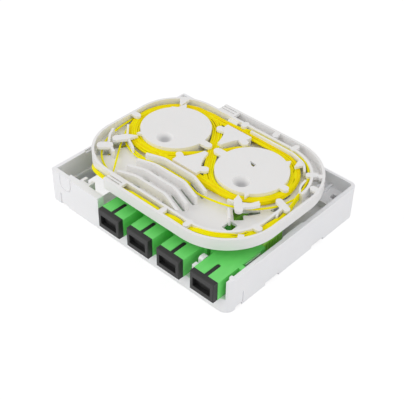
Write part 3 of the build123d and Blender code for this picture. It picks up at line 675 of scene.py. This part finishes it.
@dataclass
class WoundFibre:
    """Turns of fibre round both discs: crossed turns, and turns that go straight along the back.

    A crossed turn lies high between the left disc's back and the right disc's front, and dips
    between the left disc's front and the right disc's back. Millimetres.
    """

    middles: tuple[float, float] = DISCS_X
    row: float = DISCS_Y
    disc: float = DISC_R
    clearance: float = 0.5           # from a disc to the nearest strand's centre
    limit: float = 21.6              # no strand's centre lies further out
    high: float = 24.72              # height of a strand's centre just under the tabs
    low: float = 22.85               # height of a strand's centre just over the floor
    back_row: float = 30.1           # Y that no strand's centre passes behind the right disc
    spacing: float = 14.0            # degrees from one control point to the next
    waver: float = 0.16              # of the radius
    roll: float = 0.1                # waver of the height
    lifted: float = 0.6              # how far a crossed turn rises for its upper crossing
    dip: float = 0.25                # share of its height that it keeps at its lower crossing
    squeeze: float = 0.4             # how far all turns close up at the right disc's right
    draw: float = 0.8                # how far crossed turns close up behind the right disc
    gathered: float = 0.7            # from the disc to where they close up there
    left_sweep: tuple[float, float] = (92.0, 256.0)     # degrees that a straight turn goes round a disc
    right_sweep: tuple[float, float] = (-72.0, 88.0)
    front_row: float = -9.9          # Y of the outermost straight turn in front of the island
    front_lead: float = 1.6          # a straight turn's front run lies this far inside its radius
    front_stops: tuple[float, ...] = (-17.0, -2.0, 9.0)  # X of that run's control points
    seed: int = 11
    crossed: tuple[Turn, ...] = (
        (17.0, 20.9, 24.6), (18.05, 19.9, 24.7), (19.1, 18.85, 24.72), (20.15, 17.8, 24.6),
        (21.2, 17.0, 24.4), (17.5, 20.4, 23.7), (18.5, 19.3, 23.8), (19.6, 18.3, 23.8),
        (20.6, 17.4, 23.7), (17.9, 19.7, 22.9), (18.8, 18.9, 22.95), (19.7, 18.0, 22.95))
    straight: tuple[Turn, ...] = (
        (21.3, 21.4, 24.6), (20.3, 20.4, 24.72), (19.2, 19.4, 24.72), (18.2, 18.5, 24.72),
        (21.5, 21.5, 23.7), (20.7, 20.9, 23.8), (19.9, 20.0, 23.8), (21.1, 21.2, 22.9),
        (20.2, 20.3, 22.9))

    def closed_up(self, angle: np.ndarray, radius: np.ndarray, draw: float) -> np.ndarray:
        """Bring a turn nearer to the right disc, and keep it off the guide wall behind it.

        At the disc's right the radius loses `squeeze` of what it has beyond the disc, and behind
        the disc it loses `draw` of it. Both fade in with the angle's cosine and sine. Behind the
        disc, the radius times the sine stays within the back row.

        Args:
            angle: Angles round the disc in radians.
            radius: The turn's radius at each of them.
            draw: How far the turn closes up behind the disc.

        Returns:
            The radius at each angle.
        """
        rightward = ramp(np.cos(angle), -0.6, 0.2)
        before, behind = ramp(np.sin(angle), 0.85, 0.35), ramp(np.sin(angle), 0.35, 0.85)
        radius = radius - (radius - self.disc - self.clearance) * self.squeeze * (rightward * before)
        drawn = radius - (radius - self.disc - self.gathered) * draw * behind
        radius = np.where(angle > 0.0, drawn, radius)
        return np.minimum(radius, (self.back_row - self.row) / np.maximum(np.sin(angle), 0.9))

    def arc(self, middle: float, radius: float, start: float, stop: float, height: float,
            rng: np.random.Generator, draw: float = 0.0) -> np.ndarray:
        """Control points on a circle whose radius and height waver a little.

        The radius has two waves a round and the height one and a half, each from a phase of its
        own.

        Args:
            middle: X of the disc.
            radius: Radius of the turn.
            start: First angle in degrees.
            stop: Last angle in degrees.
            height: Height above the wall plane.
            rng: Source of the waver.
            draw: How far the turn closes up behind the disc.

        Returns:
            Points, one a row.
        """
        count = max(3, int(abs(stop - start) / self.spacing))
        angle = np.radians(np.linspace(start, stop, count))
        phase, lift = rng.uniform(0, 2 * pi, 2)
        r = radius + self.waver * np.sin(2.0 * angle + phase)
        if middle == self.middles[1]:
            r = self.closed_up(angle, r, draw)
        r = np.clip(r, self.disc + self.clearance, self.limit)
        z = np.clip(height + self.roll * np.sin(1.5 * angle + lift), self.low - self.roll, self.high)
        return np.c_[middle + r * np.cos(angle), self.row + r * np.sin(angle), z]

    def crossed_turn(self, left: float, right: float, height: float, rng: np.random.Generator) -> np.ndarray:
        """A turn in a figure of eight.

        It leaves each disc along the line that touches both circles crosswise: at the angle whose
        cosine is the two radii over the distance between the discs.

        Args:
            left: Radius round the left disc.
            right: Radius round the right disc.
            height: Height above the wall plane.
            rng: Source of the waver.

        Returns:
            Control points of the closed turn.
        """
        a, b = self.middles
        turn = np.degrees(acos((left + right) / (b - a)))
        first = self.arc(a, left, turn, 360 - turn, height, rng)
        second = self.arc(b, right, 180 - turn, turn - 180, height, rng, self.draw)
        high = min(height + self.lifted, self.high)
        first[0, 2], second[-1, 2] = high, high
        mid = (first[-1] + second[0]) / 2
        mid[2] = self.low + (height - self.low) * self.dip
        over = (second[-1] + first[0]) / 2
        return np.concatenate((first, mid[None], second, over[None]))

    def straight_turn(self, left: float, right: float, height: float, rng: np.random.Generator) -> np.ndarray:
        """A turn that goes straight between the discs at the back and at the front.

        Args:
            left: Radius round the left disc.
            right: Radius round the right disc.
            height: Height above the wall plane.
            rng: Source of the waver.

        Returns:
            Control points of the closed turn.
        """
        a, b = self.middles
        first = self.arc(a, left, *self.left_sweep, height, rng)
        row = max(self.front_row, self.row - left + self.front_lead)
        front = np.array([(x, row, height) for x in self.front_stops])
        second = self.arc(b, right, *self.right_sweep, height, rng)
        return np.concatenate((first, front, second))

    def build(self, strands: Strands) -> bpy.types.Object:
        """Make the wound fibre.

        Args:
            strands: The builder of strands.

        Returns:
            The object.
        """
        rng = np.random.default_rng(self.seed)
        turns = [self.crossed_turn(*turn, rng) for turn in self.crossed]
        turns += [self.straight_turn(*turn, rng) for turn in self.straight]
        routes = [(in_frame(points), True) for points in turns]
        piece = strands.build("wound_fibre", routes, list(rng.uniform(0, 1.0, len(routes))))
        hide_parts("fibre_laps")
        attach(piece, "tray")
        LOG.info("wound fibre: %d turns", len(routes))
        return piece


@dataclass
class Leads:
    """The four fibres from the plugs' boots to the tray, whole. Millimetres.

    Each leaves its boot, goes left along the back under the tray, forward past the hinges, up
    round the tray's front left corner, in at the channel's mouth, and round the channel to the
    wound fibre.
    """

    inside_boot: float = 0.7         # how far a lead starts inside its boot's tip
    turn_in: float = 7.0             # how far left of its boot a lead starts along the back
    stops: tuple[float, ...] = (24.0, 10.0, -5.0, -18.0)   # X of the control points along the back
    stop_room: float = 6.0           # a stop nearer than this to the turn is left out
    first_layer: float = 10.2        # height of the lowest lead along the back
    layer: float = 1.0
    first_row: float = 25.0          # Y of the foremost lead along the back
    row: float = 0.9
    fan: float = 0.3                 # how far leads stand apart at the left wall
    bend_low: float = 14.0           # below this height a lead lies in the housing
    bend_high: float = 20.8          # above it, the lead lies on the tray
    channel: tuple[tuple[Point, ...], ...] = (
        ((-41.6, -27.5, 17.4), (-37.3, -31.6, 19.6), (-32.0, -34.5, 21.6), (-26.0, -36.0, 23.0),
         (-18.0, -36.3, 23.5), (-6.0, -36.3, 23.8), (8.0, -36.3, 23.9), (22.0, -36.3, 23.9),
         (32.0, -34.6, 23.9), (40.0, -29.4, 23.9), (45.1, -22.2, 23.9), (47.8, -14.0, 23.8),
         (48.1, -6.0, 23.6), (47.2, 0.0, 23.3)),
        ((-42.2, -26.2, 17.0), (-38.0, -30.7, 19.4), (-32.6, -34.2, 21.6), (-27.0, -36.2, 23.3),
         (-20.0, -36.9, 24.2), (-6.0, -36.95, 24.6), (8.0, -36.95, 24.72), (22.0, -36.95, 24.72),
         (32.3, -35.1, 24.72), (40.6, -29.9, 24.72), (45.8, -22.6, 24.72), (48.4, -14.3, 24.7),
         (48.7, -6.3, 24.4), (47.8, 0.3, 24.1)),
        ((-41.0, -27.0, 17.6), (-36.0, -31.5, 19.8), (-30.6, -34.4, 21.7), (-25.5, -35.6, 23.2),
         (-18.0, -36.0, 24.2), (-6.0, -36.03, 24.6), (8.0, -36.03, 24.72), (21.7, -36.03, 24.72),
         (31.7, -34.3, 24.72), (39.8, -29.2, 24.72), (44.9, -22.0, 24.72), (47.5, -14.0, 24.6),
         (47.8, -6.2, 24.4), (46.9, 0.0, 24.5)),
        ((-42.6, -25.3, 17.4), (-38.9, -29.9, 19.5), (-34.0, -33.2, 21.6), (-28.8, -34.8, 23.2),
         (-22.0, -35.4, 23.0), (-12.0, -35.5, 23.0), (-2.0, -35.5, 23.3), (8.0, -35.2, 24.4),
         (18.0, -35.1, 24.72), (28.0, -34.4, 24.72), (35.3, -31.2, 24.72), (41.2, -25.9, 24.72),
         (45.0, -18.8, 24.72), (46.9, -12.0, 24.6), (47.2, -5.0, 24.6), (46.2, 0.6, 24.6)))
    gap: tuple[tuple[float, float], ...] = (         # from the rim's gap to the back
        (45.3, 5.2), (44.1, 9.6), (43.8, 12.6), (43.1, 16.2), (41.9, 19.9), (39.7, 23.9),
        (36.7, 27.7), (32.4, 30.6), (26.0, 32.1), (18.0, 32.3), (8.0, 32.3), (1.0, 32.2))
    stack: tuple[float, ...] = (22.85, 23.75, 24.6, 25.5)   # heights of the leads there
    abreast: float = 0.42            # how far leads stand apart where the lane is wide
    wide: tuple[float, float] = (14.0, 28.5)         # it is wide from this Y to that
    inward: float = 7.0              # before this Y, and under the tab, no lead stands higher than `held`
    tab: tuple[float, float] = (22.0, 25.0)
    held: float = 24.7
    ends: tuple[tuple[Point, ...], ...] = (
        ((-4.0, 31.6, 22.85),),
        ((-4.5, 31.2, 23.5), (-10.0, 30.4, 23.3)),
        ((-5.0, 30.6, 24.2), (-12.0, 30.3, 24.3)),
        ((-4.5, 31.5, 24.7), (-9.0, 30.5, 24.72), (-17.0, 30.5, 24.72), (-26.0, 30.9, 24.6),
         (-36.0, 28.0, 23.7)))
    rise: float = 0.95               # how far the leads bulge up between the channel's tabs
    holds: tuple[tuple[float, float], ...] = (       # middles of those tabs
        (-24.0, -36.0), (-20.0, -36.0), (-16.0, -36.0), (-12.5, -36.0), (11.0, -36.2),
        (23.8, -35.7), (44.2, -26.2), (46.0, -17.6), (47.0, -3.5), (46.0, 0.0))
    hold_near: float = 2.2           # nearer than this to a tab a lead doesn't rise
    hold_far: float = 5.0            # further off than this it rises in full
    rise_from: float = 23.6          # no lead rises that lies lower than this
    rise_full: float = 24.4          # one that lies at this height rises in full
    front: float = -26.0             # the channel lies before this Y
    side: tuple[float, float] = (39.0, -4.0)         # or beyond this X and before this Y
    shade: float = 0.1               # how much more amber each lead is than the last

    def risen(self, line: np.ndarray) -> np.ndarray:
        """Let a lead bulge up in the channel between the tabs that hold it down.

        The rise is `rise` times a smooth step of the distance to the nearest tab, seen from above.

        Args:
            line: Points along the lead, in the part's frame.

        Returns:
            The points, raised.
        """
        flat = (line[:, :2] - np.array(FRAME_STEP[:2])) / MM
        nearest = np.min([np.linalg.norm(flat - np.array(tab), axis=1) for tab in self.holds], axis=0)
        free = ramp(nearest, self.hold_near, self.hold_far)
        high = ramp(line[:, 2] / MM, self.rise_from, self.rise_full)
        outside = (flat[:, 1] < self.front) | ((flat[:, 0] > self.side[0]) & (flat[:, 1] < self.side[1]))
        raised = line.copy()
        raised[:, 2] += self.rise * MM * free ** 2 * (3.0 - 2.0 * free) * high * outside
        return raised

    def through(self, number: int) -> list[Point]:
        """Points of one lead from the rim's gap along the back to the wound fibre.

        Args:
            number: Which lead, from 0.

        Returns:
            The points.
        """
        shift = self.abreast if number % 2 == 0 else -self.abreast
        height = self.stack[number]
        points = []
        for x, y in self.gap:
            aside = shift if self.wide[0] < y < self.wide[1] else 0.0
            low = y < self.inward or self.tab[0] < y < self.tab[1]
            points.append((x + aside, y, min(height, self.held) if low else height))
        return points + list(self.ends[number])

    def under(self, number: int) -> list[Point]:
        """Points of one lead inside the housing, from its boot to the tray's corner.

        Args:
            number: Which port, from 0 at the left.

        Returns:
            The points.
        """
        low, high = (np.array(corner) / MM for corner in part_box(f"plug_boot_{number + 1}"))
        x, axis = (low[0] + high[0]) / 2, (low[2] + high[2]) / 2
        tip = high[1] - FRAME_STEP[1] / MM
        y = self.first_row + self.row * number
        z = self.first_layer + self.layer * number
        corner = x - self.turn_in
        out = self.fan * number
        first = [(x, tip - self.inside_boot, axis), (x, 12.5, axis), (x - 0.6, 18.5, axis + 0.2),
                 (corner, y, z)]
        back = [(stop, y - 0.5, z) for stop in self.stops if stop < corner - self.stop_room]
        left = [(-32.0, 23.6, z), (-40.0, 17.5, z), (-43.0, 9.0, z), (-44.0 - out, 0.0, z),
                (-44.4 - out, -9.0, z + 0.4), (-44.0, -18.0, 14.5)]
        return first + back + left

    def build(self, strands: Strands) -> list[bpy.types.Object]:
        """Make the leads, which run from the housing up to the tray.

        Args:
            strands: The builder of strands.

        Returns:
            The objects.
        """
        pieces = []
        for number, inside in enumerate(self.channel):
            points = np.array(self.under(number) + list(inside) + self.through(number))
            piece = strands.build(f"fibre_lead_{number + 1}", [(in_frame(points), False)],
                                  [self.shade * number], self.risen)
            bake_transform(piece)
            length = np.linalg.norm(np.diff(points, axis=0), axis=1).sum()
            LOG.info("lead %d: about %.0f mm", number + 1, length)
            pieces.append(piece)
        return pieces


@dataclass
class SpliceFibres:
    """Loose ends on the tray, from the wound turns forward over its floor. Millimetres.

    The second goes on beside the right disc and round to its back.
    """

    routes: tuple[tuple[Point, ...], ...] = (
        ((-28.0, 30.4, 23.2), (-36.0, 27.6, 23.2), (-42.2, 22.8, 23.2), (-46.0, 15.5, 23.6),
         (-47.4, 6.0, 23.9), (-47.2, -2.2, 23.9), (-46.4, -10.0, 23.7), (-44.6, -16.3, 23.4),
         (-41.3, -21.9, 23.3), (-37.3, -26.0, 23.3), (-32.0, -29.4, 23.2), (-25.0, -31.6, 23.0),
         (-15.0, -32.3, 22.9), (0.0, -32.4, 22.9), (12.0, -32.2, 22.9)),
        ((-30.0, 30.0, 24.0), (-36.6, 27.2, 23.8), (-43.0, 20.2, 23.5), (-46.2, 10.0, 23.5),
         (-45.6, 0.5, 23.5), (-42.8, -6.8, 23.4), (-37.4, -11.6, 23.3), (-31.0, -14.4, 23.2),
         (-24.9, -15.3, 23.0), (-18.2, -14.6, 22.9), (-11.0, -13.4, 22.9), (0.0, -13.3, 22.9),
         (4.5, -13.7, 22.9), (8.7, -15.3, 23.3), (12.4, -16.5, 23.9), (18.4, -15.9, 24.3),
         (24.0, -14.9, 24.5), (29.3, -12.8, 24.5), (33.1, -10.7, 24.5), (37.0, -7.4, 24.5),
         (40.2, -3.0, 24.5), (42.3, 1.1, 24.4), (43.4, 6.2, 24.2), (43.9, 10.5, 24.1),
         (43.5, 14.0, 24.2), (42.6, 17.6, 24.2), (41.0, 21.5, 24.1), (38.6, 25.0, 23.8)),
        ((-27.0, 30.0, 23.0), (-36.0, 26.4, 23.0), (-42.2, 19.4, 23.0), (-45.3, 9.5, 23.2),
         (-44.7, 0.5, 24.0), (-41.9, -6.4, 24.1), (-36.7, -10.9, 24.0), (-30.4, -13.6, 23.9),
         (-24.5, -14.5, 23.6), (-18.0, -13.9, 23.1), (-11.0, -12.5, 22.9), (0.0, -12.4, 22.9),
         (4.5, -12.7, 22.9)),
        ((-44.0, 4.0, 23.4), (-42.6, -4.5, 23.4), (-38.9, -12.3, 23.5), (-31.4, -21.7, 24.0),
         (-23.9, -31.1, 24.5)))
    shades: tuple[float, ...] = (0.0, 0.1, 0.2, 0.0)

    def build(self, strands: Strands) -> bpy.types.Object:
        """Make the loose ends.

        Args:
            strands: The builder of strands.

        Returns:
            The object.
        """
        routes = [(in_frame(np.array(route)), False) for route in self.routes]
        piece = strands.build("splice_fibres", routes, list(self.shades))
        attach(piece, "tray")
        LOG.info("splice fibres: %d", len(routes))
        return piece


@dataclass(frozen=True)
class Lamp:
    """A soft square lamp that faces the part."""

    name: str
    place: Point
    size: float      # side in metres
    power: float     # watts
    colour: Colour

    def build(self) -> None:
        """Add the lamp."""
        data = bpy.data.lights.new(self.name, "AREA")
        data.size = self.size
        data.energy = self.power
        data.color = self.colour
        lamp = bpy.data.objects.new(self.name, data)
        lamp.location = self.place
        lamp.rotation_euler = (-Vector(self.place)).to_track_quat("-Z", "Y").to_euler()
        bpy.context.scene.collection.objects.link(lamp)


@dataclass
class Studio:
    """Camera, soft lights, floor and white background."""

    lens: float = 78.86
    sensor: float = 36.0
    camera_at: Point = (0.20605, -0.22483, 0.2590)
    azimuth: float = 42.307
    elevation: float = 39.797
    roll: float = 1.051
    floor_size: float = 3.0
    floor_drop: float = 0.05 * MM
    floor_grain: float = 0.4
    floor_pale: Colour = (0.82, 0.82, 0.82)
    floor_dull: Colour = (0.8, 0.8, 0.8)
    floor_seen: Colour = (0.3, 0.3, 0.3)     # to the camera the floor has this colour, with its shadow
    floor_glow: float = 0.8                  # and this much white light added
    sky: Colour = (0.985, 0.985, 1.0)
    sky_strength: float = 0.70
    lamps: tuple[Lamp, ...] = (
        Lamp("key", (-0.55, -0.7, 0.5), 0.7, 2.7, (1.0, 0.99, 0.97)),
        Lamp("fill", (0.85, -0.1, 0.4), 0.8, 1.3, (0.99, 0.99, 1.0)))

    def camera(self) -> None:
        """Put the camera where the photograph was taken from.

        It looks along its azimuth, counted from the front, and down by its elevation, and is
        then rolled about that line.
        """
        azimuth, elevation, roll = (radians(a) for a in (self.azimuth, self.elevation, self.roll))
        back = Vector((sin(azimuth) * cos(elevation), -cos(azimuth) * cos(elevation), sin(elevation)))
        right = Vector((cos(azimuth), sin(azimuth), 0.0))
        up = back.cross(right)
        across = right * cos(roll) + up * sin(roll)
        over = up * cos(roll) - right * sin(roll)
        data = bpy.data.cameras.new("camera")
        data.lens = self.lens
        data.sensor_width = self.sensor
        data.clip_start, data.clip_end = 0.01, 20.0
        camera = bpy.data.objects.new("camera", data)
        turn = Matrix((across, over, back)).transposed().to_4x4()
        camera.matrix_world = Matrix.Translation(self.camera_at) @ turn
        bpy.context.scene.collection.objects.link(camera)
        bpy.context.scene.camera = camera

    def floor(self) -> None:
        """Add a pale floor that keeps the part's shadow."""
        half = self.floor_size / 2
        corners = [(-half, -half, 0), (half, -half, 0), (half, half, 0), (-half, half, 0)]
        mesh = bpy.data.meshes.new("floor")
        mesh.from_pydata(corners, [], [(0, 1, 2, 3)])
        floor = bpy.data.objects.new("floor", mesh)
        bpy.context.scene.collection.objects.link(floor)
        g = Graph(bpy.data.materials.new("floor"))
        base = g.blend(g.noise(g.place(), self.floor_grain, 2.0) * 0.1, self.floor_pale, self.floor_dull)
        plain = g.node("ShaderNodeBsdfDiffuse", None, {"Color": base})
        half_lit = g.node("ShaderNodeBsdfDiffuse", None, {"Color": (*self.floor_seen, 1.0)})
        glow = g.node("ShaderNodeEmission", None, {"Color": WHITE, "Strength": self.floor_glow})
        pale = g.node("ShaderNodeAddShader", None, {0: half_lit, 1: glow})
        mixed = g.node("ShaderNodeMixShader", None, {0: g.looked_at(), 1: plain, 2: pale})
        g.add("ShaderNodeOutputMaterial", None, {"Surface": mixed})
        mesh.materials.append(g.holder)
        floor.location.z = -self.floor_drop

    def world(self) -> None:
        """Light the part evenly from all round, with a white background."""
        g = Graph(bpy.data.worlds.new("studio"))
        soft = g.node("ShaderNodeBackground", None,
                      {"Color": (*self.sky, 1.0), "Strength": self.sky_strength})
        white = g.node("ShaderNodeBackground", None, {"Color": WHITE, "Strength": 1.0})
        mixed = g.node("ShaderNodeMixShader", None, {0: g.looked_at(), 1: soft, 2: white})
        g.add("ShaderNodeOutputWorld", None, {"Surface": mixed})
        bpy.context.scene.world = g.holder

    def build(self) -> None:
        """Set up the studio."""
        self.camera()
        self.world()
        self.floor()
        for lamp in self.lamps:
            lamp.build()
        bpy.context.scene.view_settings.view_transform = "Standard"
        LOG.info("studio ready")


def dress_nodes(palette: Palette) -> None:
    """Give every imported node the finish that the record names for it.

    Args:
        palette: The finished materials.
    """
    for row in frame["record"]["subparts"]:
        palette.dress(frame["nodes"][row["node"]], Finish(row["material_slot"]))
        LOG.info("dressed %s", row["node"])


def main() -> None:
    """Build the pieces in order."""
    logging.basicConfig(level=logging.INFO)
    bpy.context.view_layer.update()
    palette = Palette()
    dress_nodes(palette)
    strands = Strands()
    fibres = [WoundFibre().build(strands), SpliceFibres().build(strands), *Leads().build(strands)]
    for piece in fibres:
        palette.dress(piece, Finish.FIBRE)
    Studio().build()


if __name__ == "__main__":
    main()
